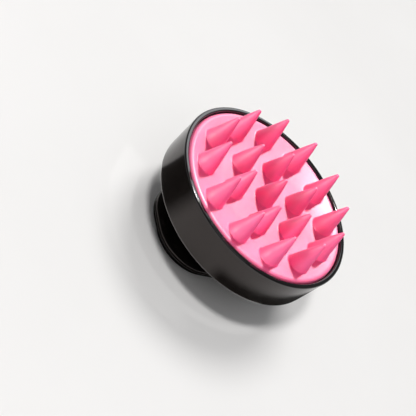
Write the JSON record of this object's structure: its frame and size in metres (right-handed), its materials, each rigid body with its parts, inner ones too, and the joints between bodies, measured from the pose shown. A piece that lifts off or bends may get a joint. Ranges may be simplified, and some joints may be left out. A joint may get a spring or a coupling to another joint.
{
  "type": "scalp massager brush",
  "caption": "Round hand-held scalp massager brush: pointed soft bristles on a dished pad in a cup housing with an oblong palm grip on a waisted neck.",
  "frame": {"origin": "centre of the palm cap's flat face, under the centre of the round housing", "axes": "+Z along the bristles, away from the palm; X along the length of the oblong grip"},
  "size_m": [0.078, 0.078, 0.0482],
  "materials": {
    "housing_black": "polished black moulded plastic",
    "grip_black": "polished black moulded plastic",
    "seal_black": "matte black rubber",
    "screw_steel": "bright steel",
    "pad_pink": "satin hot pink silicone",
    "carrier_white": "natural white moulded plastic"
  },
  "bodies": {
    "handle": {"housing": "housing_black", "grip_body": "grip_black", "palm_cap": "grip_black", "neck_gasket": "seal_black", "handle_screws": "screw_steel"},
    "pad_unit": {"bristle_pad": "pad_pink", "bristles": "pad_pink", "pad_carrier": "carrier_white", "retainer_ring": "carrier_white", "retainer_screws": "screw_steel", "seal_ring": "seal_black"}
  },
  "joints": [
    {"name": "head_lift", "type": "slide", "parent": "handle", "child": "pad_unit", "axis": [0, 0, 1], "range_m": [0, 0.03]}
  ]
}
